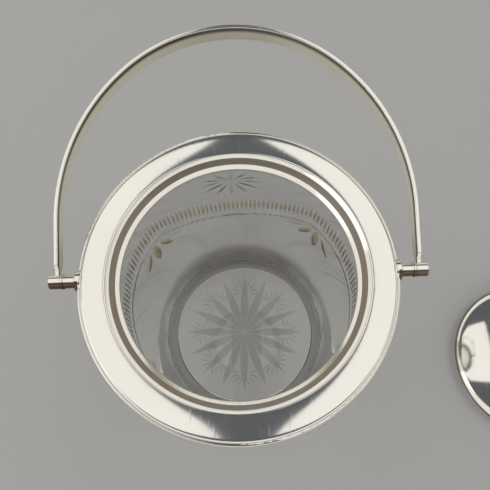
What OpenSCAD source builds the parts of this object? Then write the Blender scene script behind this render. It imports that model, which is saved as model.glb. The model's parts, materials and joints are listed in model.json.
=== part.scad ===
// Cut-glass biscuit jar with a plated collar, a swing handle and a lift-off lid.
// Millimetres, +Z up, origin at the centre of the foot on the table.
// +Y is the side to which the handle leans, and the handle turns about X.

/* [Glass jar] */
// Outer radius of the glass wall
glass_r = 63; // [58:0.5:70]
// Thickness of the glass wall
glass_wall = 5; // [4:0.25:6]
// Height of the glass rim above the table
glass_h = 180; // [150:1:210]
// Thickness of the glass floor at its middle
floor_t = 10; // [8:0.5:14]
// Radius of the low dome of the floor inside
floor_dome_r = 350; // [280:10:900]
// Radius of the rounded corner at the foot
heel_r = 2.5; // [1.5:0.25:4]
// Radius of the fillet between the floor and the wall inside
fillet_r = 3; // [2:0.5:8]
// Rounding of the glass rim
rim_round = 1.5; // [0.8:0.1:1.9]
// Radius of the shallow hollow under the base
kick_r = 51; // [49:0.5:53]
// Depth of the hollow under the base
kick_depth = 0.6; // [0.3:0.1:1.2]

/* [Cuts in the glass] */
// Number of hollow flutes round the foot
flute_n = 12; // [9:1:16]
// How far a flute cuts in at the foot
flute_in = 5.5; // [3:0.5:7]
// Height to which a flute climbs the wall
flute_h = 20; // [12:1:30]
// Radius of the hollow of a flute
flute_hollow_r = 70; // [50:5:120]
// Number of rays in the star under the base
ray_n = 16; // [8:1:20]
// Distance from the centre to a ray's tip
ray_l = 44.5; // [38:0.5:48]
// Distance from the centre to a ray's inner point
ray_start = 3; // [2.5:0.5:6]
// Width of a ray at its middle
ray_w = 6; // [3:0.2:6.4]
// Depth of a ray
ray_depth = 1.2; // [0.4:0.1:1.8]

/* [Collar] */
// Thickness of the plated sheet
sheet_t = 1; // [0.7:0.1:1.3]
// Thickness of the cement over the glass rim
cement_t = 1.5; // [1:0.1:2.5]
// Thickness of the cement between the recess wall and the glass
cement_in_t = 1.4; // [0.5:0.1:1.8]
// How far the cement reaches down inside the glass
cement_in_l = 3; // [2:0.5:6]
// Height of the upright edge of the lip
lip_l = 0.8; // [0.4:0.1:1.5]
// Rounding of the lip
lip_round = 1.3; // [1.1:0.1:2]
// Width of the lid's seat
seat_w = 1.3; // [0.8:0.1:2]
// Slope of the lid's seat
seat_slope = 42; // [35:1:48]
// Width of the recess wall
recess_w = 1.55; // [1.3:0.05:3]
// Slope of the recess wall
recess_slope = 62; // [55:1:68]
// Width of the bevel between the recess wall and the flange
bevel_w = 1.2; // [0.8:0.1:2]
// Slope of that bevel
bevel_slope = 40; // [30:1:50]
// Rounding on both sides of that bevel
corner_round = 1.4; // [1.3:0.1:2]
// Upward slope of the flange at its inner edge
flange_in_slope = 5; // [2:1:8]
// Downward slope of the flange at its outer edge
flange_out_slope = 9; // [4:1:14]
// How far the collar stands out from the glass
flange_over = 5.5; // [4:0.5:8]
// Rounding of the flange's outer edge
edge_round = 1.8; // [1.4:0.1:2.4]
// How far the turned-down edge reaches below the bosses
apron_margin = 1; // [0.5:0.5:4]
// Radius of the wire round the flange's edge
rim_wire_r = 0.8; // [0.7:0.1:1.4]
// How deep the rim wire is let into the collar's edge
rim_wire_seat = 0.5; // [0.4:0.05:0.7]
// Gap for cement between the glass and the neck band
band_gap = 0.6; // [0.3:0.1:1]
// Thickness of the neck band
band_t = 0.9; // [0.6:0.1:1.2]
// How far the neck band reaches down from the glass rim
band_l = 18; // [12:1:26]
// Radius of the bead at the foot of the neck band
band_bead_r = 1.1; // [0.8:0.1:1.6]

/* [Hubs] */
// Depth of the hinge axis below the flange
hinge_drop = 4; // [3:0.5:6]
// Radius of the boss disc
boss_r = 4.9; // [4.2:0.1:6]
// How far the boss disc stands out from the collar
boss_t = 1.9; // [1.8:0.1:4]
// How far the boss disc reaches in over the flange
boss_in = 1.1; // [0.5:0.1:1.7]
// Radius of the fixed post
post_r = 2.95; // [2.6:0.05:3.4]
// Length of the fixed post
post_l = 5.4; // [4:0.2:7]
// Radius of the washer
washer_r = 3.3; // [3:0.1:4]
// Thickness of the washer
washer_t = 0.7; // [0.4:0.1:1.2]
// Radius of the turning knuckle
knuckle_r = 3.15; // [2.8:0.05:3.6]
// Length of the turning knuckle
knuckle_l = 5.4; // [4.5:0.1:7]
// Rounding of the turned edges
turned_edge = 0.35; // [0.1:0.05:0.45]
// Radius of the pivot screw
screw_r = 1.25; // [1:0.05:1.5]
// Radius of the screw's head
head_r = 1.95; // [1.8:0.05:2.1]
// Thickness of the screw's head
head_t = 1.2; // [0.8:0.1:1.6]
// Width of the slot in the screw's head
slot_w = 0.5; // [0.4:0.1:0.8]
// Depth of the slot in the screw's head
slot_depth = 0.5; // [0.3:0.1:0.7]
// How deep the screw reaches into the boss
screw_bite = 1.6; // [1:0.1:1.7]

/* [Bail] */
// Lean of the bail above the horizontal when it stands as photographed
bail_lean = 12; // [0:0.5:90]
// Length of the straight leg from the hinge to the arch
bail_leg = 26.5; // [20:0.5:45]
// How far the strip stands in from the middle of the knuckle
bail_inset = 0.9; // [0:0.1:1.4]
// How much higher the arch is than a half circle
arch_lift = 6.2; // [1:0.2:16]
// Angle at which the arch passes from its sides to its crest
crest_angle = 50; // [40:1:60]
// Thickness of the strip
bail_t = 1.7; // [1.2:0.1:2.4]
// Width of the strip at the foot of a leg
bail_foot_w = 7; // [5.6:0.2:8]
// Width of the strip at the top of the arch
bail_top_w = 11; // [8:0.5:14]
// Width of the leg's end where it joins the knuckle
bail_neck_w = 3.6; // [2.6:0.2:5]
// Distance from the hinge to the end of the narrow neck
bail_neck_l = 4.6; // [4:0.1:5.2]
// Distance from the hinge to the full width of the foot
bail_foot_l = 7; // [5.8:0.2:9]

/* [Lid] */
// Place of the lid on the table, to the right of the jar
lid_x = 209; // [175:1:260]
// Place of the lid on the table, towards the front
lid_y = -27; // [-80:1:80]
// How far the lid's edge laps over the mouth
lid_lap = 1.6; // [1.2:0.1:2]
// Thickness of the lid's sheet
lid_t = 0.9; // [0.6:0.1:1.2]
// Radius of the wire in the lid's edge
lid_wire_r = 0.7; // [0.6:0.1:1.1]
// Radius of the dome's shoulder
shoulder_r = 16; // [10:1:24]
// Slope of the dome where the shoulder meets the crown
crown_slope = 30; // [18:1:34]
// Slope of the dome at its edge
lid_edge_slope = 50; // [40:1:80]
// Depth of the ring that drops into the mouth
bezel_l = 6; // [4:0.5:9]
// Thickness of that ring
bezel_t = 0.9; // [0.7:0.1:1.2]
// Clearance between that ring and the mouth
bezel_gap = 0.8; // [0.6:0.1:1.2]

/* [Finial] */
// Radius of the finial's foot
base_r = 8; // [6:0.5:10]
// Height of the finial's base
base_h = 7; // [5:0.5:10]
// Radius of the finial's waist
waist_r = 3.4; // [3:0.1:4]
// Radius of the seat under the knob
cup_r = 5; // [4.5:0.1:6]
// Height of that seat above the waist
cup_l = 2.5; // [2:0.25:3]
// Radius of the knob
knob_r = 11; // [9:0.5:14]
// Height of the knob's button
button_h = 1.6; // [1:0.2:3]
// Radius of the knob's button
button_r = 2.4; // [1.8:0.2:3.4]
// Radius of the stud through the dome
stud_r = 2; // [1.5:0.1:2.4]
// How deep the stud reaches into the knob
stud_bite = 9; // [6:0.5:12]
// Radius of the washer under the dome
nut_washer_r = 5.5; // [5:0.25:8]
// Thickness of the washer under the dome
nut_washer_t = 0.8; // [0.5:0.1:1.5]
// Width of the nut across its corners
nut_corners = 8; // [7:0.5:10]
// Height of the nut
nut_h = 3; // [2:0.5:4]
// Length of stud that stands out below the nut
stud_tail = 1; // [0.5:0.5:3]

/* [Clearances] */
// Radial running clearance of the knuckle on its screw
run_clear = 0.05; // [0.02:0.01:0.1]
// End play between the hub's parts
end_clear = 0.1; // [0.05:0.05:0.3]
// Radial clearance round the screw's head
head_clear = 0.3; // [0.2:0.05:0.4]
// Radial clearance of screw threads in their holes
thread_clear = 0.04; // [0.02:0.01:0.1]
// Radial clearance of the stud in plain holes
stud_clear = 0.3; // [0.2:0.1:0.5]

/* [Hidden] */

$fn = 96;
fine_fn = 384;     // facets of a large round that a small piece is fitted to
arc_step = 9;      // degrees between the points of a drawn arc
floor_step = 1.5;  // degrees between the points of the floor's dome
overcut = 1;       // how far a cutting shape passes the surface it cuts
foot_flare = 55;   // degrees that the finial's base curves out below its waist
cup_flare = 70;    // degrees that it curves out above the waist

// A drawn line is a list of [x, y, heading]. "go" moves straight on, and "turn" bends to a new heading.
function bend(at, radius, heading) =
    let (count = max(1, ceil(abs(heading - at.z) / arc_step)), side = sign(at.z - heading))
    [for (k = [1:count]) let (a = at.z + (heading - at.z) * k / count)
        [at.x + side * radius * (sin(at.z) - sin(a)), at.y + side * radius * (cos(a) - cos(at.z)), a]];
function stretch(at, step) = step[0] == "go"
    ? [[at.x + step[1] * cos(at.z), at.y + step[1] * sin(at.z), at.z]]
    : bend(at, step[1], step[2]);
function draw(steps, at, i = 0) = i == len(steps) ? [at]
    : let (line = stretch(at, steps[i]))
      concat([at], [for (k = [0:1:len(line) - 2]) line[k]], draw(steps, line[len(line) - 1], i + 1));
function last(list) = list[len(list) - 1];
function moved(line, dx, dy) = [for (p = line) [p.x + dx, p.y + dy, p.z]];
// The line's own points, or those a depth to its right, which is the underside of a sheet
function face(line, depth = 0) = [for (p = line) [p.x + depth * sin(p.z), p.y - depth * cos(p.z)]];
function reversed(list) = [for (i = [len(list) - 1:-1:0]) list[i]];
function arc(cx, cy, r, a0, a1, step = arc_step) =
    let (count = ceil(abs(a1 - a0) / step))
    [for (k = [0:count]) let (a = a0 + (a1 - a0) * k / count) [cx + r * cos(a), cy + r * sin(a)]];

// Glass and collar
glass_in_r = glass_r - glass_wall;
fillet_x = glass_in_r - fillet_r;
dome_edge = asin(fillet_x / (floor_dome_r + fillet_r));
fillet_z = floor_t - floor_dome_r + (floor_dome_r + fillet_r) * cos(dome_edge);
collar_r = glass_r + flange_over;
lip_line = draw([["go", lip_l], ["turn", lip_round, seat_slope], ["go", seat_w / cos(seat_slope)],
                 ["turn", lip_round, recess_slope], ["go", recess_w / cos(recess_slope)]], [0, 0, 90]);
bevel_line = draw([["turn", corner_round, bevel_slope], ["go", bevel_w / cos(bevel_slope)],
                   ["turn", corner_round, flange_in_slope]], last(lip_line));
corner_end = last(bevel_line);
opening_r = glass_in_r - cement_in_t - sheet_t - last(lip_line).x;
flange_z = glass_h + cement_t + sheet_t;
lip_z = flange_z - corner_end.y;
edge_run = edge_round * (1 - sin(flange_out_slope));
flange_run = collar_r - edge_run - opening_r - corner_end.x;
flange_round = flange_run / (sin(flange_in_slope) + sin(flange_out_slope));
hinge_z = flange_z - hinge_drop;
apron_z = hinge_z - boss_r - apron_margin;
upper_line = draw([["turn", flange_round, -flange_out_slope], ["turn", edge_round, -90]],
                  [corner_end.x, corner_end.y, flange_in_slope]);
apron_l = lip_z + last(upper_line).y - apron_z;
collar_line = moved(concat(lip_line, [for (k = [1:len(bevel_line) - 1]) bevel_line[k]],
                           [for (k = [1:len(upper_line) - 1]) upper_line[k]],
                           stretch(last(upper_line), ["go", apron_l])), opening_r, lip_z);
collar_top_z = max([for (p = collar_line) p.y]);
band_r = glass_r + band_gap + band_t;
band_z = glass_h - band_l;

// Hubs, measured along X from the jar's axis
boss_x = collar_r + boss_t;
post_x = boss_x + post_l;
washer_x = post_x + washer_t;
knuckle_x = washer_x + end_clear;
knuckle_end_x = knuckle_x + knuckle_l;
counterbore = head_t + 2 * end_clear;
head_x = knuckle_end_x - counterbore + end_clear;
screw_tip_x = boss_x - screw_bite;

// Bail, in its own plane
strip_x = (knuckle_x + knuckle_end_x) / 2 - bail_inset;
side_bend = (1 - sin(crest_angle)) / cos(crest_angle);
arch_side_x = arch_lift / (1 - side_bend);
arch_side_r = strip_x + arch_side_x;
arch_crest_y = arch_side_x * tan(crest_angle);
arch_crest_r = strip_x + arch_lift - arch_crest_y;
arch_top = bail_leg + strip_x + arch_lift + bail_t / 2;

// Lid
lid_r = opening_r + lid_lap;
dome_r = lid_r - lid_wire_r;
crown_r = (dome_r - shoulder_r * (sin(lid_edge_slope) - sin(crown_slope))) / sin(crown_slope);
dome_line_0 = draw([["turn", crown_r, -crown_slope], ["turn", shoulder_r, -lid_edge_slope]], [0, 0, 0]);
lid_wire_z = bezel_l + lid_wire_r;
dome_top_z = lid_wire_z - last(dome_line_0).y;
dome_line = moved(dome_line_0, 0, dome_top_z);
bezel_r = opening_r - bezel_gap;
cup_z = dome_top_z + base_h;
knob_drop = sqrt(knob_r * knob_r - cup_r * cup_r);
knob_z = cup_z + knob_drop;
under_dome_z = dome_top_z - lid_t;
stud_foot_z = under_dome_z - nut_washer_t - nut_h - stud_tail;

silver = [0.86, 0.84, 0.79];
brass = [0.72, 0.58, 0.32];
glass = [0.80, 0.86, 0.86, 0.4];
cement = [0.88, 0.86, 0.80];

module glass_2d() {
    polygon(concat(
        [[0, kick_depth], [kick_r - kick_depth, kick_depth], [kick_r, 0]],
        arc(glass_r - heel_r, heel_r, heel_r, -90, 0),
        arc(glass_r - rim_round, glass_h - rim_round, rim_round, 0, 90),
        arc(glass_in_r + rim_round, glass_h - rim_round, rim_round, 90, 180),
        arc(fillet_x, fillet_z, fillet_r, 0, -90 - dome_edge),
        arc(0, floor_t - floor_dome_r, floor_dome_r, 90 - dome_edge, 90, floor_step)));
}

// One hollow flute, its deepest line leaning out from the foot to the wall
module flute() {
    translate([glass_r - flute_in, 0, 0])
        rotate([0, atan2(flute_in, flute_h), 0])
            translate([flute_hollow_r, 0, 0])
                cylinder(r = flute_hollow_r, h = 4 * flute_h, center = true);
}

// One ray of the star: the lens where two large circles cross
module ray_2d() {
    half = (ray_l - ray_start) / 2;
    lens_r = (half * half + ray_w * ray_w / 4) / ray_w;
    translate([ray_start + half, 0])
        intersection() {
            translate([0, lens_r - ray_w / 2]) circle(r = lens_r);
            translate([0, ray_w / 2 - lens_r]) circle(r = lens_r);
        }
}

module glass_jar() {
    color(glass) difference() {
        rotate_extrude() glass_2d();
        for (k = [0:flute_n - 1]) rotate([0, 0, 360 * (k + 0.5) / flute_n]) flute();
        for (k = [0:ray_n - 1])
            rotate([0, 0, 360 * k / ray_n])
                translate([0, 0, kick_depth - overcut])
                    linear_extrude(height = ray_depth + overcut) ray_2d();
    }
}

module collar_2d() {
    polygon(concat(face(collar_line), reversed(face(collar_line, sheet_t))));
}

// Everything above the collar's underside, used to shape what fits up against it
module over_collar_2d() {
    under = face([for (k = [0:len(collar_line) - 2]) collar_line[k]], sheet_t);
    high = collar_top_z + overcut;
    polygon(concat(under, [[last(under).x, high], [under[0].x, high]]));
}

// Everything inside the collar's outer face, used to shape what is soldered on it
module collar_filled_2d() {
    polygon(concat(face(collar_line), [[0, apron_z], [0, lip_z]]));
}

module cement_ring() {
    color(cement) rotate_extrude() difference() {
        union() {
            translate([glass_r - rim_round, band_z + band_bead_r])
                square([rim_round + band_gap, band_l]);
            translate([glass_in_r - cement_in_t, glass_h - cement_in_l])
                square([glass_wall + cement_in_t + band_gap, cement_in_l + cement_t + sheet_t]);
        }
        glass_2d();
        over_collar_2d();
    }
}

module neck_band() {
    color(silver) rotate_extrude() difference() {
        union() {
            translate([band_r - band_t, band_z]) square([band_t, collar_top_z - band_z]);
            intersection() {
                translate([band_r, band_z + band_bead_r]) circle(r = band_bead_r);
                translate([band_r - band_t, band_z]) square(2 * band_bead_r + band_t);
            }
        }
        over_collar_2d();
    }
}

module collar() {
    color(silver) rotate_extrude() collar_2d();
}

module rim_wire() {
    color(silver) difference() {
        rotate_extrude() difference() {
            translate([collar_r + rim_wire_r - rim_wire_seat, lip_z + last(upper_line).y])
                circle(r = rim_wire_r);
            collar_filled_2d();
        }
        translate([0, 0, hinge_z]) rotate([0, 90, 0])
            cylinder(r = boss_r, h = 2 * boss_x, center = true);
    }
}

// A turned ring about X with eased edges
module turned(x0, x1, r, bore) {
    rotate([0, 90, 0]) rotate_extrude()
        polygon([[bore, x0], [r - turned_edge, x0], [r, x0 + turned_edge],
                 [r, x1 - turned_edge], [r - turned_edge, x1], [bore, x1]]);
}

module turned_hole(x0, x1, r) {
    translate([x0, 0, 0]) rotate([0, 90, 0]) cylinder(r = r, h = x1 - x0);
}

module on_hinge() {
    translate([0, 0, hinge_z]) children();
}

module boss() {
    difference() {
        on_hinge() turned(collar_r - boss_in, boss_x, boss_r, 0);
        rotate_extrude($fn = fine_fn) collar_filled_2d();
        on_hinge() turned_hole(screw_tip_x, boss_x + overcut, screw_r + thread_clear);
    }
}

module post() {
    on_hinge() turned(boss_x, post_x, post_r, screw_r + thread_clear);
}

module hub_washer() {
    on_hinge() rotate([0, 90, 0]) rotate_extrude()
        translate([screw_r + thread_clear, post_x])
            square([washer_r - screw_r - thread_clear, washer_t]);
}

module screw() {
    on_hinge() difference() {
        union() {
            turned_hole(screw_tip_x, head_x + head_t / 2, screw_r);
            turned_hole(head_x, head_x + head_t, head_r);
        }
        translate([head_x + head_t, 0, 0])
            cube([2 * slot_depth, slot_w, 2 * head_r + overcut], center = true);
    }
}

module knuckle() {
    on_hinge() difference() {
        turned(knuckle_x, knuckle_end_x, knuckle_r, screw_r + run_clear);
        turned_hole(knuckle_end_x - counterbore, knuckle_end_x + overcut, head_r + head_clear);
    }
}

module left_boss() { color(silver) mirror([1, 0, 0]) boss(); }
module right_boss() { color(silver) boss(); }
module left_post() { color(silver) mirror([1, 0, 0]) post(); }
module right_post() { color(silver) post(); }
module left_washer() { color(silver) mirror([1, 0, 0]) hub_washer(); }
module right_washer() { color(silver) hub_washer(); }
module left_screw() { color(brass) mirror([1, 0, 0]) screw(); }
module right_screw() { color(brass) screw(); }
module left_knuckle() { color(silver) mirror([1, 0, 0]) knuckle(); }
module right_knuckle() { color(silver) knuckle(); }

// The arch and its legs as seen square on, to a given distance outside the strip's middle
module arch_2d(out) {
    wide = 2 * (strip_x + out);
    translate([-wide / 2, 0]) square([wide, bail_leg]);
    translate([0, bail_leg]) intersection() {
        translate([-arch_side_x, 0]) circle(r = arch_side_r + out);
        translate([arch_side_x, 0]) circle(r = arch_side_r + out);
        union() {
            translate([-wide / 2, 0]) square([wide, arch_crest_y + (arch_crest_r + out) * sin(crest_angle)]);
            translate([0, arch_crest_y]) circle(r = arch_crest_r + out);
        }
        translate([-wide / 2, 0]) square([wide, arch_top]);
    }
}

// The strip's width along the leg and the arch, as seen from the side
module strip_side_2d() {
    top = arch_top + overcut;
    neck = bail_neck_w / 2;
    foot = bail_foot_w / 2;
    crest = bail_top_w / 2;
    polygon([[0, -neck], [bail_neck_l, -neck], [bail_foot_l, -foot], [top, -crest],
             [top, crest], [bail_foot_l, foot], [bail_neck_l, neck], [0, neck]]);
}

module bail_strip() {
    color(silver) on_hinge() rotate([bail_lean, 0, 0]) difference() {
        intersection() {
            linear_extrude(height = 2 * bail_top_w, center = true) difference() {
                arch_2d(bail_t / 2);
                square([2 * strip_x - bail_t, 2 * overcut], center = true);
                arch_2d(-bail_t / 2);
            }
            rotate([90, 0, 90])
                linear_extrude(height = 2 * arch_top, center = true) strip_side_2d();
        }
        rotate([0, 90, 0]) cylinder(r = knuckle_r, h = 2 * knuckle_end_x, center = true);
    }
}

module on_table() {
    translate([lid_x, lid_y, 0]) children();
}

module dome_2d() {
    polygon(concat(face(dome_line), reversed(face(dome_line, lid_t))));
}

module under_dome_2d() {
    under = face(dome_line, lid_t);
    polygon(concat(under, [[last(under).x, -overcut], [0, -overcut]]));
}

module over_dome_2d() {
    polygon(concat(face(dome_line), [[dome_r, cup_z], [0, cup_z]]));
}

module lid_dome() {
    color(silver) on_table() difference() {
        rotate_extrude() dome_2d();
        cylinder(r = stud_r + stud_clear, h = cup_z);
    }
}

module lid_edge_wire() {
    color(silver) on_table() rotate_extrude() difference() {
        translate([dome_r, lid_wire_z]) circle(r = lid_wire_r);
        dome_2d();
    }
}

module lid_bezel() {
    color(silver) on_table() rotate_extrude() intersection() {
        translate([bezel_r - bezel_t, 0]) square([bezel_t, dome_top_z]);
        under_dome_2d();
    }
}

module finial_base() {
    waist_z = cup_z - cup_l;
    color(silver) on_table() rotate_extrude() intersection() {
        polygon(concat(
            [[stud_r + stud_clear, 0], [base_r, 0]],
            arc(base_r - turned_edge, dome_top_z + turned_edge, turned_edge, 0, 90),
            arc(base_r, waist_z, base_r - waist_r, 180 + foot_flare, 180),
            arc(cup_r, waist_z, cup_r - waist_r, 180, 180 - cup_flare),
            [[cup_r, cup_z], [stud_r + stud_clear, cup_z]]));
        over_dome_2d();
    }
}

module finial_knob() {
    color(silver) on_table() difference() {
        rotate_extrude() intersection() {
            union() {
                translate([0, knob_z]) circle(r = knob_r);
                translate([0, knob_z + knob_r - turned_edge])
                    square([button_r, button_h + turned_edge]);
            }
            translate([0, cup_z]) square([knob_r, 2 * knob_r + button_h]);
        }
        translate([0, 0, cup_z - overcut])
            cylinder(r = stud_r + thread_clear, h = stud_bite + overcut);
    }
}

module finial_stud() {
    color(brass) on_table() translate([0, 0, stud_foot_z])
        cylinder(r = stud_r, h = cup_z + stud_bite - stud_foot_z);
}

module finial_washer() {
    color(brass) on_table() rotate_extrude() intersection() {
        translate([stud_r + stud_clear, under_dome_z - nut_washer_t])
            square([nut_washer_r - stud_r - stud_clear, nut_washer_t]);
        under_dome_2d();
    }
}

module finial_nut() {
    color(brass) on_table() translate([0, 0, under_dome_z - nut_washer_t - nut_h]) difference() {
        cylinder(d = nut_corners, h = nut_h, $fn = 6);
        translate([0, 0, -overcut]) cylinder(r = stud_r + thread_clear, h = nut_h + 2 * overcut);
    }
}

glass_jar();
cement_ring();
neck_band();
collar();
rim_wire();
left_boss();
right_boss();
left_post();
right_post();
left_washer();
right_washer();
left_screw();
right_screw();
left_knuckle();
right_knuckle();
bail_strip();
lid_dome();
lid_edge_wire();
lid_bezel();
finial_base();
finial_knob();
finial_stud();
finial_washer();
finial_nut();
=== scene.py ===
"""A cut-glass biscuit jar with a plated collar, a swing handle and a lid that stands beside it.

Metres, +Z up, the foot's centre at the origin, the handle turning about X and leaning towards +Y.
Profiles are drawn in millimetres, as (radius, height), and scaled once when their mesh is made.
"""
import json
from math import asin, atan2, ceil, cos, degrees, pi, radians, sin, tan

import bmesh
import bpy
from mathutils import Matrix, Vector


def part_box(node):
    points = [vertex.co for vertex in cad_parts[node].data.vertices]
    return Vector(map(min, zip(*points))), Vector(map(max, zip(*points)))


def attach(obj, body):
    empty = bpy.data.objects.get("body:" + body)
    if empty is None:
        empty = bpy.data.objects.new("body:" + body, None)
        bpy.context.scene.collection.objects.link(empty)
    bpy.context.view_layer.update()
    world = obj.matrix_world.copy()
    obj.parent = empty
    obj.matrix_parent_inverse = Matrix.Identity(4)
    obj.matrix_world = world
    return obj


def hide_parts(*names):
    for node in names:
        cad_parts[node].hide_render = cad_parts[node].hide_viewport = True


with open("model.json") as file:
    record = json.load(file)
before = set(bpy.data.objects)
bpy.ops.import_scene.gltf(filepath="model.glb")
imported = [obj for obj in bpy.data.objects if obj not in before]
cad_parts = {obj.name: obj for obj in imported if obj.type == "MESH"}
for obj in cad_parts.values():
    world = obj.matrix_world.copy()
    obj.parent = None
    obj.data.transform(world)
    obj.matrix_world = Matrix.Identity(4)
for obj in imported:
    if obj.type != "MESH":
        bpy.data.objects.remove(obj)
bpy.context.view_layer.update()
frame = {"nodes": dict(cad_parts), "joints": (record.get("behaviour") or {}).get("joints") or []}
MM = 0.001
SHARP = 40.0


# ---------------------------------------------------------------- sizes

def span(node, axis):
    """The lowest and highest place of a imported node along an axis, in millimetres."""
    low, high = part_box(node)
    return low[axis] / MM, high[axis] / MM


X, Y, Z = 0, 1, 2
WALL_R = span("glass_jar", X)[1]
RIM_Z = span("glass_jar", Z)[1]
WALL = 5.0
HEEL_R = 2.5
RIM_ROUND = 1.5
FLOOR_Z = 10.0
FLOOR_DOME_R = 350.0
FILLET_R = 3.0
KICK_R = 51.0
KICK = 0.6

SHEET = 1.0
COLLAR_R = span("collar", X)[1]
APRON_Z = span("collar", Z)[0]
MOUTH_R = 52.042
LIP_Z = 174.548
HINGE_Z = frame["joints"][0]["pos_m"][Z] / MM
BOSS_R = span("right_boss", Y)[1]
BOSS_X = span("right_post", X)[0]
POST_R = span("right_post", Y)[1]
POST_X = span("right_post", X)[1]
KNUCKLE_X = span("right_knuckle", X)
KNUCKLE_R = span("right_knuckle", Y)[1]
BOSS_SINK = 1.1
POST_BORE_R, KNUCKLE_BORE_R = 1.29, 1.3
HEAD_BORE_R, HEAD_DEPTH = 2.25, 1.4

STRIP_X = sum(KNUCKLE_X) / 2 - 0.9
BAIL_LEG = 26.5
BAIL_T = 1.7
NECK_W, NECK_TOP = 3.6, 4.6
LEG_W, LEG_FROM = 7.0, 7.0
CREST_GROWTH = 4.0
STRIP_EASE = 0.42
BAIL_LEAN = radians(12)
ARCH_LIFT = 6.2
CREST_ANGLE = radians(50)
BAIL_TOP = BAIL_LEG + STRIP_X + ARCH_LIFT + BAIL_T / 2

LID_X = sum(span("lid_edge_wire", X)) / 2
LID_Y = sum(span("lid_edge_wire", Y)) / 2
LID_WIRE_R = 0.7
LID_DOME_R = span("lid_edge_wire", X)[1] - LID_X - LID_WIRE_R
LID_EDGE_Z = sum(span("lid_edge_wire", Z)) / 2
LID_T = 0.9
LID_CROWN, LID_EDGE, LID_SHOULDER = 30, 50, 16.0
STUD_BORE_R = 2.3
SEAT_SLOPE = 42
RECESS_SLOPE = 62
BEVEL_SLOPE = 40
FLANGE_RISE, FLANGE_FALL = 5, 9
SEAT_BEND, BEVEL_BEND, EDGE_BEND = 1.3, 1.4, 1.8
LIP_H, SEAT_W, RECESS_W, BEVEL_W = 0.8, 1.3, 1.55, 1.2
RECESS_R = (MOUTH_R + 1.75, MOUTH_R + 3.75)

# The photograph's camera, the floor and the light
PHOTO_PX = 490
FOCAL_PX = 510
CAMERA_AT = (0.00431, -0.05454, 0.3941)
TILT, ROLL, YAW = radians(17.61), radians(-2.755), radians(0.735)
FLOOR_COLOUR = (0.60, 0.595, 0.585)
FLOOR_CLOUD = 0.97
WARM = (1.0, 0.985, 0.95)
SOFT_BOXES = [
    ("left_soft_box", (-0.80, 0.35, 1.5), (1.30, 1.80), 0.84, WARM),
    ("right_soft_box", (0.80, 0.35, 1.5), (1.30, 1.80), 0.84, WARM),
    ("window", (-2.30, -0.55, 1.5), (1.80, 1.70), 0.80, WARM),
]
DIM, BRIGHT = (0.105, 0.112, 0.125), (0.85, 0.84, 0.81)
BAND_TILT = 0.19
ROOM_BANDS = [
    (0.0, (0.30, 0.30, 0.30)), (0.40, (0.55, 0.55, 0.54)),
    (0.45, BRIGHT), (0.735, BRIGHT), (0.775, DIM), (1.0, DIM),
]

# Colours of the silver plate, its tarnishing, and the painted shade and painted reflection put on it
CLEAN_SILVER = (0.905, 0.880, 0.815, 1.0)
DULL_SILVER = (0.840, 0.770, 0.655, 1.0)
# brown tarnishing in the collar's recess, darkened as a painted dark reflection
TARNISH_AND_PAINTED_SHADE = (0.46, 0.39, 0.32, 1.0)
# painted dark: painted dark reflection on the hubs and the bail, painted shade on the lid's edge wire
PAINTED_DARK = (0.11, 0.075, 0.05, 1.0)
# painted pale reflection on the bail's inner face
PAINTED_PALE_REFLECTION = (0.92, 0.88, 0.72, 1.0)

# Tints of the glass, painted shade in its walls, cuts and foot and painted light in its base, and the
# millimetres over which its lighter base and its darker foot fade in
GLASS_WALL_PAINTED_SHADE = (0.80, 0.80, 0.79, 1.0)
GLASS_BASE_PAINTED_LIGHT = (0.97, 0.965, 0.955, 1.0)
GLASS_FOOT_PAINTED_SHADE = (0.40, 0.385, 0.365, 1.0)
GLASS_CUT_PAINTED_SHADE = (0.58, 0.575, 0.56, 1.0)
GLASS_STAIN = (0.62, 0.52, 0.13, 1.0)
GLASS_SHADOW = (0.95, 0.95, 0.945, 1.0)
BASE_BELOW = (15.0, 15.0 - 1 / 0.3)
FOOT_BEYOND = (52.0, 57.0)
FOOT_BELOW = (43.75, 31.25)
FOOT_BEHIND = (12.0, 52.0)


# ---------------------------------------------------------------- node trees

class Wire:
    """One node socket that takes part in Python expressions, each operator adding one Math node."""

    def __init__(self, graph, socket):
        self.graph, self.socket = graph, socket

    def math(self, operation, *others):
        values = {i: value for i, value in enumerate((self, *others))}
        return self.graph.add("ShaderNodeMath", {"operation": operation}, values)

    def __add__(self, other): return self.math("ADD", other)
    def __sub__(self, other): return self.math("SUBTRACT", other)
    def __rsub__(self, other): return self.graph.value_math("SUBTRACT", other, self)
    def __mul__(self, other): return self.math("MULTIPLY", other)
    def __truediv__(self, other): return self.math("DIVIDE", other)
    def __pow__(self, other): return self.math("POWER", other)
    def __neg__(self): return self.math("MULTIPLY", -1.0)
    def __abs__(self): return self.math("ABSOLUTE")
    def __lt__(self, other): return self.math("LESS_THAN", other)
    def __gt__(self, other): return self.math("GREATER_THAN", other)

    def low(self, other): return self.math("MINIMUM", other)
    def high(self, other): return self.math("MAXIMUM", other)
    def wrapped(self, half): return self.math("WRAP", half, -half)
    def root(self): return self.math("SQRT")
    def sine(self): return self.math("SINE")
    def cosine(self): return self.math("COSINE")

    def held(self, low=0.0, high=1.0):
        return self.high(low).low(high)

    def fade(self, start, end):
        """0 at the start and 1 at the end, which may be the lower, and held beyond them."""
        return ((self - start) * (1.0 / (end - start))).held()


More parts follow.
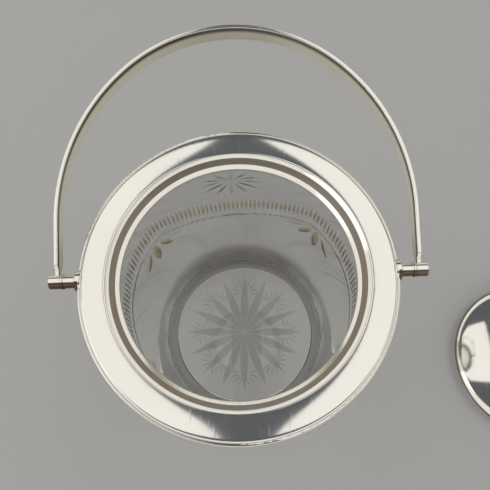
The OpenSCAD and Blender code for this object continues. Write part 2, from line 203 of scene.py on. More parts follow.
class Graph:
    """A node tree, with one method that makes any node."""

    def __init__(self, tree):
        self.tree = tree

    def make(self, kind, settings=None, sockets=None):
        """Adds a node: its settings first, a ramp's stops among them, then its sockets' values or links."""
        node = self.tree.nodes.new(kind)
        for name, value in (settings or {}).items():
            if name == "stops":
                ramp = node.color_ramp.elements
                while len(ramp) < len(value):
                    ramp.new(0.5)
                for stop, (place, colour) in zip(ramp, value):
                    stop.position = place
                    stop.color = (*colour, 1.0)
            else:
                setattr(node, name, value)
        for name, value in (sockets or {}).items():
            if isinstance(value, Wire):
                self.tree.links.new(value.socket, node.inputs[name])
            else:
                node.inputs[name].default_value = value
        return node

    def add(self, kind, settings=None, sockets=None, output=0):
        return Wire(self, self.make(kind, settings, sockets).outputs[output])

    def value_math(self, operation, first, second):
        return self.add("ShaderNodeMath", {"operation": operation}, {0: first, 1: second})

    def vector(self, operation, first, second):
        sockets = {0: first, 1: second} if operation != "SCALE" else {0: first, "Scale": second}
        return self.add("ShaderNodeVectorMath", {"operation": operation}, sockets)

    def tint(self, factor, first, second):
        """One colour mixed into another."""
        settings = {"data_type": "RGBA", "blend_type": "MIX", "clamp_factor": True}
        return self.add("ShaderNodeMix", settings, {0: factor, 6: first, 7: second}, output=2)

    def parts(self, vector):
        node = self.make("ShaderNodeSeparateXYZ", None, {0: vector})
        return [Wire(self, out) for out in node.outputs]

    def joined(self, x, y, z):
        return self.add("ShaderNodeCombineXYZ", None, {0: x, 1: y, 2: z})


# ---------------------------------------------------------------- materials

class Finish(Graph):
    """A procedural material with one Principled shader, read on Object coordinates."""

    def __init__(self, name, **constants):
        self.material = bpy.data.materials.new(name)
        self.material.use_nodes = True
        super().__init__(self.material.node_tree)
        self.tree.nodes.clear()
        self.shader = self.make("ShaderNodeBsdfPrincipled", None, constants)
        self.place = self.add("ShaderNodeTexCoord", output=3)
        self.out = self.make("ShaderNodeOutputMaterial")
        self.tree.links.new(self.shader.outputs[0], self.out.inputs[0])

    def drive(self, name, value):
        self.tree.links.new(value.socket, self.shader.inputs[name])

    def noise(self, scale, detail, roughness, at=None):
        sockets = {"Vector": at or self.place, "Scale": scale, "Detail": detail, "Roughness": roughness}
        return self.add("ShaderNodeTexNoise", None, sockets)

    def stretched(self, x, y, z):
        """Object coordinates scaled differently along each axis, for scratches that run one way."""
        return self.add("ShaderNodeMapping", None, {"Vector": self.place, "Scale": (x, y, z)})

    def bump(self, height, strength, distance):
        sockets = {"Height": height, "Strength": strength, "Distance": distance}
        self.drive("Normal", self.add("ShaderNodeBump", None, sockets))


def recess_tarnish_and_painted_shade(m, x, y, z):
    """Brown tarnishing that polishing leaves in the recess under the collar's inner edge, made darker as a
    painted dark reflection of the recess wall.
    """
    r = (x ** 2.0 + y ** 2.0).root() / MM
    inner, outer = RECESS_R
    return r.fade(inner, inner + 0.2) * r.fade(outer, outer - 0.2), TARNISH_AND_PAINTED_SHADE


def hub_painted_reflection(m, x, y, z):
    """Painted dark reflection, dark brown, on the front of the hubs, under the polished top."""
    front = (y / MM).fade(-0.75, -1.375)
    return front * (abs(x) / MM).fade(COLLAR_R, COLLAR_R + 1 / 3), PAINTED_DARK


def bail_painted_reflection(m, x, y, z):
    """Painted reflection on the strip's inner face, dark brown above and pale olive below."""
    inner = m.add("ShaderNodeAttribute", {"attribute_name": "inner"}, None, output=2)
    colour = m.tint(inner.fade(0.80, 0.80 + 1 / 9), PAINTED_PALE_REFLECTION, PAINTED_DARK)
    return inner.fade(0.3, 0.3 + 1 / 6), colour


def edge_painted_shade(m, x, y, z):
    """Painted shade all over, dark brown, for the wire under the lid's edge."""
    return 0.9, PAINTED_DARK


def silver_plate(name, centre=(0.0, 0.0), turned_axis=Z, shine=0.09, worn=1.0, tarnish_and_painted_light=None):
    """Polished warm silver plate: faint turning lines, wiped scratches and a breath of tarnishing, with any
    given mark of painted shade, painted reflection and recess tarnishing laid over them.
    """
    m = Finish(name, **{"Metallic": 1.0})
    x, y, z = m.parts(m.place)
    if turned_axis == Z:
        across = ((x - centre[0]) ** 2.0 + (y - centre[1]) ** 2.0).root()
        along = z
    else:
        across = ((y - centre[0]) ** 2.0 + (z - centre[1]) ** 2.0).root()
        along = x
    rings = m.noise(1.0, 2.0, 0.6, at=m.joined(across * 2600.0, along * 2600.0, 0.0))
    wiped = m.noise(26.0, 5.0, 0.62)
    streaks = m.noise(1.0, 3.0, 0.55, at=m.stretched(900.0, 70.0, 240.0))
    cloud = m.noise(11.0, 4.0, 0.6)
    dull = cloud.fade(0.47, 0.47 + 1 / 3.2)
    hair = streaks.fade(0.60, 0.60 + 1 / 6)
    rough = (wiped - 0.5) * 0.10 * worn + dull * 0.05 * worn + hair * 0.10 * worn + shine
    m.drive("Roughness", rough.held(0.03, 0.6))
    colour = m.tint(dull * 0.45 * worn, CLEAN_SILVER, DULL_SILVER)
    # the given mark: tarnishing with painted shade in the recess, painted reflection on the hubs and bail,
    # painted shade on the edge wire
    if tarnish_and_painted_light:
        amount, brown = tarnish_and_painted_light(m, x, y, z)
        amount = ((cloud - 0.5) * 0.8 + 0.95).held() * amount
        colour = m.tint(amount, colour, brown)
        m.drive("Metallic", amount * -0.5 + 1.0)
    m.drive("Base Color", colour)
    m.bump(rings * 0.5 + hair * 0.6 + wiped * 0.4, 0.10 * worn, 0.00006)
    return m.material


def screw_metal():
    """Nickel of the pivot screws, turned and a little dull."""
    m = Finish("screw_nickel", **{"Metallic": 1.0})
    x, y, z = m.parts(m.place)
    across = (y ** 2.0 + (z - HINGE_Z * MM) ** 2.0).root()
    rings = m.noise(1.0, 2.0, 0.6, at=m.joined(across * 5200.0, 0.0, 0.0))
    grime = m.noise(420.0, 4.0, 0.6)
    m.drive("Roughness", (rings * 0.14 + grime * 0.16 + 0.12).held())
    m.drive("Base Color", m.tint(grime, (0.70, 0.67, 0.60, 1.0), (0.52, 0.47, 0.39, 1.0)))
    m.bump(rings, 0.2, 0.00004)
    return m.material


def turned_brass():
    """Dull turned brass of the finial's fastening."""
    m = Finish("turned_brass", **{"Metallic": 1.0})
    grime = m.noise(300.0, 4.0, 0.6)
    lines = m.noise(1.0, 2.0, 0.5, at=m.stretched(200.0, 200.0, 4200.0))
    m.drive("Roughness", (lines * 0.12 + grime * 0.22 + 0.16).held())
    m.drive("Base Color", m.tint(grime, (0.78, 0.60, 0.30, 1.0), (0.42, 0.30, 0.14, 1.0)))
    m.bump(lines, 0.25, 0.00004)
    return m.material


def old_plaster():
    """Browned plaster that beds the collar on the glass."""
    m = Finish("old_plaster", **{"Metallic": 0.0})
    grain = m.noise(900.0, 5.0, 0.65)
    stain = m.noise(60.0, 3.0, 0.6)
    m.drive("Roughness", (grain * 0.1 + 0.84).held())
    m.drive("Base Color", m.tint(stain, (0.62, 0.57, 0.48, 1.0), (0.34, 0.29, 0.22, 1.0)))
    m.bump(grain, 0.35, 0.0002)
    return m.material


def clear_glass():
    """Clear glass: polished outside the cuts and faintly stained inside them, with painted shade greying
    the cuts, the walls and the far side of the foot, and a lighter base as painted light.

    Rays towards a lamp pass through it with a light tint, so that its shadow stays clear.
    """
    m = Finish("clear_glass", **{"IOR": 1.53, "Transmission Weight": 1.0, "Specular IOR Level": 0.5})
    cut = m.add("ShaderNodeAttribute", {"attribute_name": "cut"}, None, output=2)
    stain = m.add("ShaderNodeAttribute", {"attribute_name": "stain"}, None, output=2)
    wiped = m.noise(34.0, 4.0, 0.6)
    m.drive("Roughness", (cut * 0.05 + stain * 0.30 + (wiped - 0.55).held() * 0.05).held())
    x, y, z = m.parts(m.place)
    r, height = (x ** 2.0 + y ** 2.0).root() / MM, z / MM
    # painted shade: walls tinted grey; painted light: the base left nearly clear
    body = m.tint(height.fade(*BASE_BELOW), GLASS_WALL_PAINTED_SHADE, GLASS_BASE_PAINTED_LIGHT)
    # painted shade round the foot on the far side
    foot = r.fade(*FOOT_BEYOND) * height.fade(*FOOT_BELOW) * (y / MM).fade(*FOOT_BEHIND)
    body = m.tint(foot, body, GLASS_FOOT_PAINTED_SHADE)
    # painted shade greying the cuts and the foot's edge
    body = m.tint(cut, body, GLASS_CUT_PAINTED_SHADE)
    m.drive("Base Color", m.tint(stain, body, GLASS_STAIN))
    waves = m.noise(16.0, 2.0, 0.5)
    m.bump(waves, 0.08, 0.0012)
    clear = m.make("ShaderNodeBsdfTransparent", None, {0: GLASS_SHADOW})
    lamp_ray = m.add("ShaderNodeLightPath", output=1)
    mix = m.make("ShaderNodeMixShader", None, {0: lamp_ray})
    m.tree.links.new(m.shader.outputs[0], mix.inputs[1])
    m.tree.links.new(clear.outputs[0], mix.inputs[2])
    m.tree.links.new(mix.outputs[0], m.out.inputs[0])
    return m.material


def pale_floor():
    """Plain pale floor with the faintest unevenness."""
    m = Finish("pale_floor")
    cloud = m.noise(3.0, 3.0, 0.5)
    cloudy = [c * FLOOR_CLOUD for c in FLOOR_COLOUR]
    m.drive("Base Color", m.tint(cloud, (*FLOOR_COLOUR, 1.0), (*cloudy, 1.0)))
    m.drive("Roughness", cloud * 0.1 + 0.62)
    return m.material


# ---------------------------------------------------------------- meshes

class Line:
    """A profile drawn on from a point, straight with go() and bending to a new heading with turn()."""

    def __init__(self, x, y, heading):
        self.trail = [(x, y, heading)]

    def go(self, length):
        x, y, heading = self.trail[-1]
        self.trail.append((x + length * cos(radians(heading)), y + length * sin(radians(heading)), heading))
        return self

    def turn(self, radius, heading, step=3.0):
        x, y, start = self.trail[-1]
        side = 1.0 if heading > start else -1.0
        count = max(1, ceil(abs(heading - start) / step))
        for k in range(1, count + 1):
            a = start + (heading - start) * k / count
            here = (x - side * radius * (sin(radians(start)) - sin(radians(a))),
                    y - side * radius * (cos(radians(a)) - cos(radians(start))), a)
            self.trail.append(here)
        return self

    def face(self, depth=0.0):
        """The line's points, or those a depth to its right."""
        return [(x + depth * sin(radians(a)), y - depth * cos(radians(a))) for x, y, a in self.trail]


def arc(x, y, radius, start, end, step=6.0):
    count = max(1, ceil(abs(end - start) / step))
    angles = [radians(start + (end - start) * k / count) for k in range(count + 1)]
    return [(x + radius * cos(a), y + radius * sin(a)) for a in angles]


def mesh_object(name, corners, faces):
    mesh = bpy.data.meshes.new(name)
    mesh.from_pydata([[c * MM for c in corner] for corner in corners], [], faces)
    mesh.validate()
    made = bpy.data.objects.new(name, mesh)
    bpy.context.scene.collection.objects.link(made)
    return made


def closed_up(made):
    """Merges doubles, points the faces outwards and shades smooth up to a sharp angle."""
    work = bmesh.new()
    work.from_mesh(made.data)
    bmesh.ops.remove_doubles(work, verts=work.verts, dist=1e-7)
    bmesh.ops.recalc_face_normals(work, faces=work.faces)
    work.to_mesh(made.data)
    work.free()
    made.data.shade_smooth()
    made.data.set_sharp_from_angle(angle=radians(SHARP))
    return made


def spun(name, section, columns, centre=(0.0, 0.0)):
    """A solid made by turning a closed section of (radius, height) about an upright axis."""
    corners, rows, faces = [], [], []
    for r, z in section:
        if r < 1e-6:
            rows.append([len(corners)] * columns)
            corners.append((centre[0], centre[1], z))
            continue
        rows.append(list(range(len(corners), len(corners) + columns)))
        for k in range(columns):
            a = 2 * pi * k / columns
            corners.append((centre[0] + r * cos(a), centre[1] + r * sin(a), z))
    for low, high in zip(rows, rows[1:] + rows[:1]):
        for k in range(columns):
            n = (k + 1) % columns
            loop = list(dict.fromkeys((low[k], low[n], high[n], high[k])))
            if len(loop) > 2:
                faces.append(loop)
    return closed_up(mesh_object(name, corners, faces))


def on_hinge(made, side):
    """Turns a piece spun about Z on to the hinge axis, pointing to the right or, with side -1, the left."""
    turn = Matrix.Translation((0.0, 0.0, HINGE_Z * MM)) @ Matrix.Scale(side, 4, (1.0, 0.0, 0.0))
    made.data.transform(turn @ Matrix.Rotation(pi / 2, 4, "Y"))
    return closed_up(made)


def dressed(made, material, body, slot, *nodes):
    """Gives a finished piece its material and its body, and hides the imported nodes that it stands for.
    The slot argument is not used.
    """
    made.data.materials.clear()
    made.data.materials.append(material)
    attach(made, body)
    if nodes:
        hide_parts(*nodes)
    return made


# ---------------------------------------------------------------- cut glass

FLUTES = 12
FLUTE_IN = 5.5
FLUTE_H = 20.0
FOOT_CHAMFER = 0.8
FOOT_RINGS = (KICK_R, 54.0, 55.9, 56.6)
FOOT_EDGE_R, FOOT_EDGE_Z = 56.0, 1.0
RAYS = 16
RAY_TIP = 44.5
RAY_WIDEST = 17.5
RAY_W = 6.4
RAY_SLOPE = 0.46
STAR_TURN = radians(2.0)
FANS = 8
FAN_STROKE = radians(24.0)
FAN_REACH = radians(115.0)
FAN_HUB = 2.5
FAN_HALF_W = 0.9
CUSP = 45.0
NOTCH_PITCH = 2.5
NOTCH_HALF_W = 1.0
LINE_HALF_W = 1.0
TIP_AT, TIP_Z, TIP_LEAN, TIP_SIZE = 37.0, 109.0, 38.0, (8.5, 0.95)
LEAF_AT, LEAF_Z, LEAF_LEAN, LEAF_OUT = 52.0, 107.5, 62.0, 8.8
LEAF_SIZE, DROP_SIZE = (9.5, 2.4), (13.0, 3.0)
STAR_RAYS = 12
STAR_SIZE = (21.0, 12.5, 19.0, 1.2)
FINE_DEPTH, LINE_DEPTH, LEAF_DEPTH = 0.20, 0.26, 0.17
# weights of the painted shade in the cuts and in the star under the base
CUT_PAINTED_SHADE, STAR_PAINTED_SHADE, STAR_PAINTED_SHADE_MOST = 7.0, 3.5, 0.75
STAIN, NOTCH_STAIN = 1.5, 0.8
NONE_HERE = 9.0
TOUCH = 0.01
CUT_SHARP = 20.0
ORNAMENT_Z = (90.0, 161.0)
FINE_ROWS_Z = 132.0
TOP_ROW_Z = 170.0
COLUMNS = 720
STAR_COLUMNS = 240
STAR_FINE_R = 14.0
PLAIN_COLUMNS = 180
CUTS = {
    "Flute hollow": 70.0, "Fan place": 30.0, "Fan length": 9.5, "Ornament turn": 3.0,
    "Garland height": 114.3, "Garland rise": 22.0, "Notch length": 18.0,
    "Line height": 100.0, "Line rise": 22.0, "Star height": 147.8,
}


def glass_rows():
    """The outer and inner lines of the glass, each from its centre under or on the floor to the rim."""
    def steps(low, high, pitch):
        count = max(1, round((high - low) / pitch))
        return [low + (high - low) * k / count for k in range(count + 1)]

    star = [0.0, 1.0, 2.0] + steps(3.0, 9.0, 1.5) + steps(11.0, 19.0, 2.0) + steps(20.0, 46.0, 1.0) + [48.0]
    under = [(r, KICK) for r in star] + [(KICK_R - KICK, KICK)]
    under += [(r, 0.0) for r in FOOT_RINGS]
    heel = arc(WALL_R - HEEL_R, HEEL_R, HEEL_R, -90, 0, 15)
    fluted = [(WALL_R, z) for z in steps(HEEL_R + 1.0, FLUTE_H + 1.5, 2.0)]
    plain = [(WALL_R, z) for z in steps(FLUTE_H + 8.0, ORNAMENT_Z[0] - 6.0, 10.0)]
    low, high = ORNAMENT_Z
    carved = [(WALL_R, z) for z in steps(low, FINE_ROWS_Z - 1.0, 1.7) + steps(FINE_ROWS_Z, high, 0.9)]
    top = [(WALL_R, TOP_ROW_Z)] + arc(WALL_R - RIM_ROUND, RIM_Z - RIM_ROUND, RIM_ROUND, 0, 90, 18)
    inner_r = WALL_R - WALL
    edge = asin((inner_r - FILLET_R) / (FLOOR_DOME_R + FILLET_R))
    fillet_z = FLOOR_Z - FLOOR_DOME_R + (FLOOR_DOME_R + FILLET_R) * cos(edge)
    floor = arc(0.0, FLOOR_Z - FLOOR_DOME_R, FLOOR_DOME_R, 90, 90 - degrees(edge), 0.6)
    floor[0] = (0.0, FLOOR_Z)
    fillet = arc(inner_r - FILLET_R, fillet_z, FILLET_R, -90 - degrees(edge), 0, 9)[1:]
    wall = [(inner_r, z) for z in steps(fillet_z + 8.0, RIM_Z - RIM_ROUND - 8.0, 20.0)]
    rim = arc(inner_r + RIM_ROUND, RIM_Z - RIM_ROUND, RIM_ROUND, 180, 90, 18)
    return under + heel + fluted + plain + carved + top, floor + fillet + wall + rim


def ring(corners, r, z, columns):
    """Adds a ring of corners, or a single one on the axis, and returns their numbers."""
    first = len(corners)
    if r == 0.0:
        corners.append((0.0, 0.0, z))
        return [first]
    for k in range(columns):
        a = 2 * pi * k / columns
        corners.append((r * sin(a), r * cos(a), z))
    return list(range(first, first + columns))


def belt(low, high):
    """The faces between two rings, one of which may be coarser by a whole number or a single corner."""
    fine, coarse = (low, high) if len(low) >= len(high) else (high, low)
    if len(coarse) == 1:
        return [[fine[k - 1], fine[k], coarse[0]] for k in range(len(fine))]
    share = len(fine) // len(coarse)
    faces = []
    for k in range(len(coarse)):
        edge = [fine[(k * share + j) % len(fine)] for j in range(share + 1)]
        faces.append([*edge, coarse[(k + 1) % len(coarse)], coarse[k]])
    return faces


def glass_blank():
    """The uncut glass, finely divided outside, where it is cut, and coarsely inside."""
    outer, inner = glass_rows()
    corners, faces = [], []
    outside = [ring(corners, r, z, STAR_COLUMNS if r < STAR_FINE_R else COLUMNS) for r, z in outer]
    inside = [ring(corners, r, z, PLAIN_COLUMNS) for r, z in inner]
    for rings in (outside, inside, [outside[-1], inside[-1]]):
        for low, high in zip(rings, rings[1:]):
            faces += belt(low, high)
    return closed_up(mesh_object("cut_glass", corners, faces))


def lens(along, across, half_length, half_width):
    """How far inside a lens-shaped cut a place lies, in millimetres; negative outside it."""
    return (1.0 - (along / half_length) ** 2.0) * half_width - abs(across)


def leaning(along, across, angle):
    """The two coordinates turned, so that a cut lies along a line at that angle."""
    c, s = cos(radians(angle)), sin(radians(angle))
    return along * c + across * s, across * c - along * s


def star_cut(along, across, rays, reach_x, reach_up, reach_down, half_width):
    """Rays from a centre, on an oval that may reach further down than up."""
    down = across < 0.0
    tall = down * (reach_down - reach_up) + reach_up
    x, y = along / reach_x, across / tall
    share = (x ** 2.0 + y ** 2.0).root()
    distance = (along ** 2.0 + across ** 2.0).root()
    off = y.math("ARCTAN2", x).wrapped(pi / rays)
    return (1.0 - (share * 2.0 - 1.0) ** 2.0) * half_width - abs(off.sine()) * distance


def cutting_tree():
    """A tree that cuts flutes, festoons, stars and leaf drops into the glass."""
    tree = bpy.data.node_groups.new("glass_cutting", "GeometryNodeTree")
    new_socket = tree.interface.new_socket
    new_socket("Geometry", in_out="INPUT", socket_type="NodeSocketGeometry")
    new_socket("Geometry", in_out="OUTPUT", socket_type="NodeSocketGeometry")
    names = {}
    for name, value in CUTS.items():
        made = new_socket(name, in_out="INPUT", socket_type="NodeSocketFloat")
        made.default_value = value
        names[name] = made.identifier
    material = new_socket("Glass", in_out="INPUT", socket_type="NodeSocketMaterial")
    names["Glass"] = material.identifier

    g = Graph(tree)
    entry = g.make("NodeGroupInput")
    size = {name: Wire(g, entry.outputs[name]) for name in CUTS}
    place = g.vector("SCALE", g.add("GeometryNodeInputPosition"), 1.0 / MM)
    x, y, z = g.parts(place)
    r = (x ** 2.0 + y ** 2.0).root().high(0.001)
    turn = x.math("ARCTAN2", y)

    # Hollow flutes round the foot
    hollow = size["Flute hollow"]
    lean = atan2(FLUTE_IN, FLUTE_H)
    flute_turn = (turn - pi / FLUTES).wrapped(pi / FLUTES)
    bend = flute_turn.sine() ** 2.0 / (hollow * (2.0 * cos(lean)))
    deep = z * tan(lean) + (WALL_R - FLUTE_IN) - (-z + FOOT_CHAMFER).high(0.0)
    facing = flute_turn.cosine()
    fluted = deep * 2.0 / (facing + (facing ** 2.0 - bend * deep * 4.0).root())
    new_r = r.low(fluted)

    # Star and fans under the base
    ray_turn = turn - STAR_TURN
    off = ray_turn.wrapped(pi / RAYS)
    taper = -((r - RAY_WIDEST) / (RAY_TIP - RAY_WIDEST)) ** 2.0 + 1.0
    ray = (r * (0.97 * tan(pi / RAYS))).low(taper * (RAY_W / 2)) - abs(r * off.sine())
    fan_turn = ray_turn.wrapped(pi / FANS)
    fan_x, fan_y = r * fan_turn.cosine() - size["Fan place"], r * fan_turn.sine()
    stroke = fan_y.math("ARCTAN2", fan_x)
    fan_r = (fan_x ** 2.0 + fan_y ** 2.0).root()
    half = size["Fan length"] * 0.5
    fan = lens(fan_r - half - FAN_HUB, fan_r * stroke.wrapped(FAN_STROKE / 2).sine(), half, FAN_HALF_W)
    fan = fan - (abs(stroke) > FAN_REACH) * NONE_HERE
    under = z < KICK + TOUCH
    rise = (ray.high(fan) * RAY_SLOPE).high(0.0) * under

    # The festoon that dips at the back and the front, and the trefoils where it rises
    degree = (turn * (180 / pi) + size["Ornament turn"]).wrapped(90.0)
    outward = abs(degree)
    hang = (outward.low(CUSP) / CUSP) ** 2.0
    arm = radians(1.0) * WALL_R
    garland = hang * size["Garland rise"] + size["Garland height"]
    notch_x = degree.wrapped(NOTCH_PITCH / 2) * arm
    notch = lens(z - garland, notch_x, size["Notch length"] * 0.5, NOTCH_HALF_W)
    line_z = hang * size["Line rise"] + size["Line height"]
    line = -abs(z - line_z) + LINE_HALF_W
    tip = lens(*leaning((outward - TIP_AT) * arm, z - TIP_Z, TIP_LEAN), *TIP_SIZE)
    beside = (outward - LEAF_AT) * arm
    leaf = lens(*leaning(-abs(beside) + LEAF_OUT, z - LEAF_Z, LEAF_LEAN), *LEAF_SIZE)
    drop = lens(z - LEAF_Z, beside, *DROP_SIZE)
    star = star_cut(degree * arm, z - size["Star height"], STAR_RAYS, *STAR_SIZE)
    leaves = leaf.high(drop)
    wall = (r > WALL_R - TOUCH) * (z < ORNAMENT_Z[1]) * (z > ORNAMENT_Z[0])
    fine = notch.high(star) * FINE_DEPTH
    depth = fine.high(line.high(tip) * LINE_DEPTH).high(leaves * LEAF_DEPTH).high(0.0) * wall

    # How much of the cut the material shows, as roughness and as painted shade greying the cuts, the star
    # under the base and the foot's edge, and how much of the stained tint it shows
    foot = (z < FOOT_EDGE_Z) * (r > FOOT_EDGE_R)
    cut = (depth * CUT_PAINTED_SHADE + (rise * STAR_PAINTED_SHADE).low(STAR_PAINTED_SHADE_MOST) + foot).held()
    stain = (leaves.high(notch * NOTCH_STAIN) * STAIN).held() * wall
    shape = Wire(g, entry.outputs[0])
    for name, value in (("cut", cut), ("stain", stain)):
        sockets = {"Geometry": shape, "Name": name, "Value": value}
        settings = {"data_type": "FLOAT", "domain": "POINT"}
        shape = g.add("GeometryNodeStoreNamedAttribute", settings, sockets)
    share = (new_r - depth) / r
    there = g.vector("SCALE", g.joined(x * share, y * share, z + rise), MM)
    shape = g.add("GeometryNodeSetPosition", None, {"Geometry": shape, "Position": there})
    shape = g.add("GeometryNodeRealizeInstances", None, {"Geometry": shape})
    sockets = {"Geometry": shape, "Material": Wire(g, entry.outputs["Glass"])}
    shape = g.add("GeometryNodeSetMaterial", None, sockets)
    g.make("NodeGroupOutput", None, {0: shape})
    return tree, names


def cut_glass(material):
    """The glass with its cuts, as a plain mesh."""
    blank = glass_blank()
    tree, names = cutting_tree()
    modifier = blank.modifiers.new("cutting", "NODES")
    modifier.node_group = tree
    for name, value in CUTS.items():
        modifier[names[name]] = value
    modifier[names["Glass"]] = material
    seen = blank.evaluated_get(bpy.context.evaluated_depsgraph_get())
    mesh = bpy.data.meshes.new_from_object(seen)
    blank.modifiers.clear()
    blank.data = mesh
    mesh.shade_smooth()
    mesh.set_sharp_from_angle(angle=radians(CUT_SHARP))
    return dressed(blank, material, "jar", "clear_glass", "glass_jar")


# ---------------------------------------------------------------- collar and hubs

def spun_collar(material):
    """The plated collar: lip, lid seat, recess wall, round inner edge, flange and turned-down edge."""
    line = Line(MOUTH_R, LIP_Z, 90).go(LIP_H)
    line.turn(SEAT_BEND, SEAT_SLOPE).go(SEAT_W / cos(radians(SEAT_SLOPE)))
    line.turn(SEAT_BEND, RECESS_SLOPE).go(RECESS_W / cos(radians(RECESS_SLOPE)))
    line.turn(BEVEL_BEND, BEVEL_SLOPE).go(BEVEL_W / cos(radians(BEVEL_SLOPE))).turn(BEVEL_BEND, FLANGE_RISE)
    rise, fall = sin(radians(FLANGE_RISE)), sin(radians(FLANGE_FALL))
    run = COLLAR_R - EDGE_BEND * (1 - fall) - line.trail[-1][0]
    line.turn(run / (rise + fall), -FLANGE_FALL, 1.0).turn(EDGE_BEND, -90, 5.0)
    line.go(line.trail[-1][1] - APRON_Z)
    collar = spun("spun_collar", line.face() + line.face(SHEET)[::-1], 360)
    return dressed(collar, material, "jar", "silver_plate", "collar")


def eased(section, radius, steps=4):
    """A closed section with its outer corners rounded, and a supporting point beside each rounding."""
    made = []
    for k, point in enumerate(section):
        corner = Vector(point)
        if corner.x <= 0.0:
            made.append(tuple(corner))
            continue
        sides = [Vector(section[k - 1]) - corner, Vector(section[(k + 1) % len(section)]) - corner]
        reach = min(radius, *[0.4 * side.length for side in sides])
        back, ahead = [side.normalized() * reach for side in sides]
        made.append(tuple(corner + back * 1.3))
        for j in range(steps + 1):
            t = j / steps
            made.append(tuple(corner + back * (1 - t) ** 2 + ahead * t ** 2))
        made.append(tuple(corner + ahead * 1.3))
    return made


def hub(side, name, silver):
    """The soldered boss, the fixed post and the turning knuckle of one hub."""
    root = COLLAR_R - BOSS_SINK
    boss = [(0.0, root), (BOSS_R, root), (BOSS_R, BOSS_X), (0.0, BOSS_X)]
    post = [(POST_BORE_R, BOSS_X), (POST_R, BOSS_X), (POST_R, POST_X), (POST_BORE_R, POST_X)]
    low, high = KNUCKLE_X
    bottom = high - HEAD_DEPTH
    knuckle = [(KNUCKLE_BORE_R, low), (KNUCKLE_R, low), (KNUCKLE_R, high)]
    knuckle += [(HEAD_BORE_R, high), (HEAD_BORE_R, bottom), (KNUCKLE_BORE_R, bottom)]
    for kind, section, easing, body in (("boss", boss, 0.7, "jar"), ("post", post, 0.3, "jar"),
                                        ("knuckle", knuckle, 0.4, "bail")):
        piece = on_hinge(spun(f"{name}_turned_{kind}", eased(section, easing), 96), side)
        dressed(piece, silver, body, "silver_plate", f"{name}_{kind}")


def strip_width(height):
    """The bail's width at a height above the hinge, measured in the plane of the bail."""
    if height < NECK_TOP:
        return NECK_W
    if height < LEG_FROM:
        return NECK_W + (LEG_W - NECK_W) * (height - NECK_TOP) / (LEG_FROM - NECK_TOP)
    return LEG_W + CREST_GROWTH * (height - LEG_FROM) / (BAIL_TOP - 6.0)


def bail_line():
    """The middle of the strip, as (x, height, outward angle): a leg, the pointed arch, the other leg."""
    legs = [2.7, 3.6, 4.5, 4.6, 4.9, 5.8, 6.7, 7.0, 7.3, 12.0, 18.0, 23.0]
    side_x = ARCH_LIFT / (1 - (1 - sin(CREST_ANGLE)) / cos(CREST_ANGLE))
    side_r = STRIP_X + side_x
    crest_y = side_x * tan(CREST_ANGLE)
    crest_r = STRIP_X + ARCH_LIFT - crest_y
    right = [(STRIP_X, height, 0.0) for height in legs]
    right += [(side_r * cos(a) - side_x, BAIL_LEG + side_r * sin(a), a)
              for a in [CREST_ANGLE * k / 28 for k in range(28)]]
    over = [(crest_r * cos(a), BAIL_LEG + crest_y + crest_r * sin(a), a)
            for a in [CREST_ANGLE + (pi - 2 * CREST_ANGLE) * k / 40 for k in range(41)]]
    left = [(-x, height, pi - a) for x, height, a in reversed(right)]
    return right + over + left


def bail_strip(material):
    """The tapered strip, a flat band bent over the top, with eased edges."""
    corners, rings, inner = [], [], []
    away = 10.0  # eased() leaves corners on the axis as they are, so the section is drawn away from it
    near, far = away - BAIL_T / 2, away + BAIL_T / 2
    for x, height, a in bail_line():
        wide = strip_width(height) / 2
        rim = eased([(far, -wide), (far, wide), (near, wide), (near, -wide)], STRIP_EASE)
        rings.append(list(range(len(corners), len(corners) + len(rim))))
        for out, up in rim:
            corners.append((x + (out - away) * cos(a), height + (out - away) * sin(a), up))
            inner.append((1.0 if up > 0 else 0.5) if out < near + TOUCH else 0.0)
    faces = [rings[0], rings[-1]]
    for low, high in zip(rings, rings[1:]):
        faces += belt(low, high)
    strip = mesh_object("bent_strip", corners, faces)
    strip.data.attributes.new("inner", "FLOAT", "POINT").data.foreach_set("value", inner)
    turn = Matrix.Translation((0.0, 0.0, HINGE_Z * MM)) @ Matrix.Rotation(BAIL_LEAN, 4, "X")
    strip.data.transform(turn)
    return dressed(closed_up(strip), material, "bail", "silver_plate", "bail_strip")


# ---------------------------------------------------------------- lid

def lid_line():
    """The dome's outer line from its top to its edge."""
    crown, edge = radians(LID_CROWN), radians(LID_EDGE)
    crown_r = (LID_DOME_R - LID_SHOULDER * (sin(edge) - sin(crown))) / sin(crown)
    fall = crown_r * (1 - cos(crown)) + LID_SHOULDER * (cos(crown) - cos(edge))
    return Line(0.0, LID_EDGE_Z + fall, 0).turn(crown_r, -LID_CROWN, 1.0).turn(LID_SHOULDER, -LID_EDGE, 2.0)


def spun_dome(material):
    """The plated dome, with its hole for the finial's stud."""
    line = lid_line()
    outer = [point for point in line.face() if point[0] > STUD_BORE_R]
    inner = [point for point in line.face(LID_T) if point[0] > STUD_BORE_R]
    top = outer[0][1]
    section = [(STUD_BORE_R, top)] + outer + inner[::-1] + [(STUD_BORE_R, top - LID_T)]
    dome = spun("spun_dome", section, 320, (LID_X, LID_Y))
    return dressed(dome, material, "lid", "silver_plate", "lid_dome")


def finial_foot(material):
    """The finial's base: a flared foot on the dome, a waist and the seat of the knob."""
    foot_r, waist_r, cup_r = 8.0, 3.4, 5.0
    ease, sink = 0.35, 0.6
    top = lid_line().trail[0][1]
    cup_z = top + 7.0
    waist_z = cup_z - 2.5
    side = arc(foot_r, waist_z, foot_r - waist_r, 235, 180) + arc(cup_r, waist_z, cup_r - waist_r, 180, 110)
    edge = arc(foot_r - ease, top + ease, ease, 0, 90, 15)
    section = [(STUD_BORE_R, top - 0.02), (foot_r, top - sink)] + edge + side
    section += [(cup_r - 0.15, cup_z - 0.15), (cup_r - 0.3, cup_z), (STUD_BORE_R, cup_z)]
    foot = spun("turned_finial_base", section, 128, (LID_X, LID_Y))
    return dressed(foot, material, "lid", "silver_plate", "finial_base")


# ---------------------------------------------------------------- stage

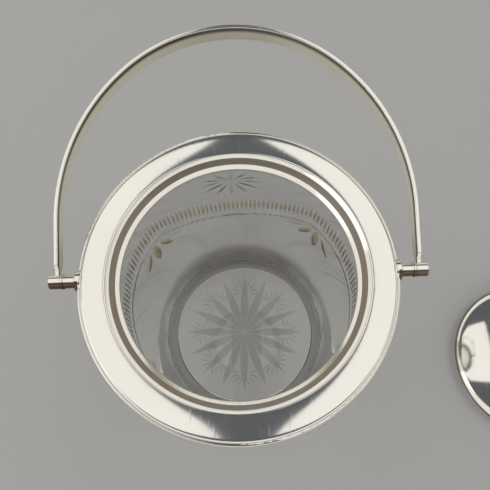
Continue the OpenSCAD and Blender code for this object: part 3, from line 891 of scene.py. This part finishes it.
def camera():
    """The photograph's camera: above the jar, a little in front, tilted back and rolled."""
    lens_data = bpy.data.cameras.new("camera")
    lens_data.sensor_width = 36.0
    lens_data.lens = 36.0 * FOCAL_PX / PHOTO_PX
    seen = bpy.data.objects.new("camera", lens_data)
    tilt = Vector((0.0, sin(TILT), -cos(TILT))), Vector((0.0, cos(TILT), sin(TILT)))
    yaw = Matrix.Rotation(YAW, 3, "Z")
    right, ahead, up = yaw @ Vector((1.0, 0.0, 0.0)), yaw @ tilt[0], yaw @ tilt[1]
    across = right * cos(ROLL) + up * sin(ROLL)
    rise = up * cos(ROLL) - right * sin(ROLL)
    axes = Matrix((across, rise, -ahead)).transposed().to_4x4()
    seen.matrix_world = Matrix.Translation(CAMERA_AT) @ axes
    bpy.context.scene.collection.objects.link(seen)
    bpy.context.scene.camera = seen


def soft_box(name, at, size, radiance, colour):
    """A soft rectangular lamp that faces straight down."""
    data = bpy.data.lights.new(name, "AREA")
    data.shape = "RECTANGLE"
    data.size, data.size_y = size
    data.energy = radiance * pi * size[0] * size[1]
    data.color = colour
    lamp = bpy.data.objects.new(name, data)
    lamp.location = at
    bpy.context.scene.collection.objects.link(lamp)


def surroundings():
    """A pale band above the horizon and a darker ceiling, which the plated surfaces mirror."""
    world = bpy.data.worlds.new("room")
    world.use_nodes = True
    world.node_tree.nodes.clear()
    g = Graph(world.node_tree)
    _, y, z = g.parts(g.add("ShaderNodeTexCoord"))
    ramp = g.add("ShaderNodeValToRGB", {"stops": ROOM_BANDS}, {0: (y * BAND_TILT + z) * 0.5 + 0.5})
    glow = g.make("ShaderNodeBackground", None, {0: ramp})
    out = g.make("ShaderNodeOutputWorld")
    g.tree.links.new(glow.outputs[0], out.inputs[0])
    bpy.context.scene.world = world


def floor():
    """The flat ground on which the jar and the lid stand."""
    reach = 4000.0
    corners = [(-reach, -reach, 0.0), (reach, -reach, 0.0), (reach, reach, 0.0), (-reach, reach, 0.0)]
    plane = mesh_object("floor", corners, [(0, 1, 2, 3)])
    plane.data.materials.append(pale_floor())


# ---------------------------------------------------------------- the whole

def dress_nodes(nodes, material):
    """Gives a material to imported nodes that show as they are."""
    for name in nodes:
        slots = frame["nodes"][name].data.materials
        slots.clear()
        slots.append(material)


camera()
surroundings()
floor()
for box in SOFT_BOXES:
    soft_box(*box)

cut_glass(clear_glass())
# the collar's recess gets brown tarnishing darkened as a painted dark reflection
spun_collar(silver_plate("collar_silver", tarnish_and_painted_light=recess_tarnish_and_painted_shade))
# the hubs' front gets a painted dark reflection
hub_silver = silver_plate("hub_silver", (0.0, HINGE_Z * MM), X, tarnish_and_painted_light=hub_painted_reflection)
for side, name in ((-1, "left"), (1, "right")):
    hub(side, name, hub_silver)
# the bail's inner face gets a painted reflection, dark above and pale olive below
bail_strip(silver_plate("bail_silver", shine=0.14, worn=1.2, tarnish_and_painted_light=bail_painted_reflection))
lid_silver = silver_plate("lid_silver", (LID_X * MM, LID_Y * MM))
spun_dome(lid_silver)
finial_foot(lid_silver)
dress_nodes(("neck_band", "rim_wire"), silver_plate("band_silver"))
dress_nodes(("left_washer", "right_washer"), hub_silver)
dress_nodes(("lid_bezel", "finial_knob"), lid_silver)
# the lid's edge wire gets painted shade
dress_nodes(("lid_edge_wire",), silver_plate("edge_silver", tarnish_and_painted_light=edge_painted_shade))
dress_nodes(("left_screw", "right_screw"), screw_metal())
dress_nodes(("finial_stud", "finial_washer", "finial_nut"), turned_brass())
dress_nodes(("cement_ring",), old_plaster())

bpy.context.scene.view_settings.view_transform = "Standard"
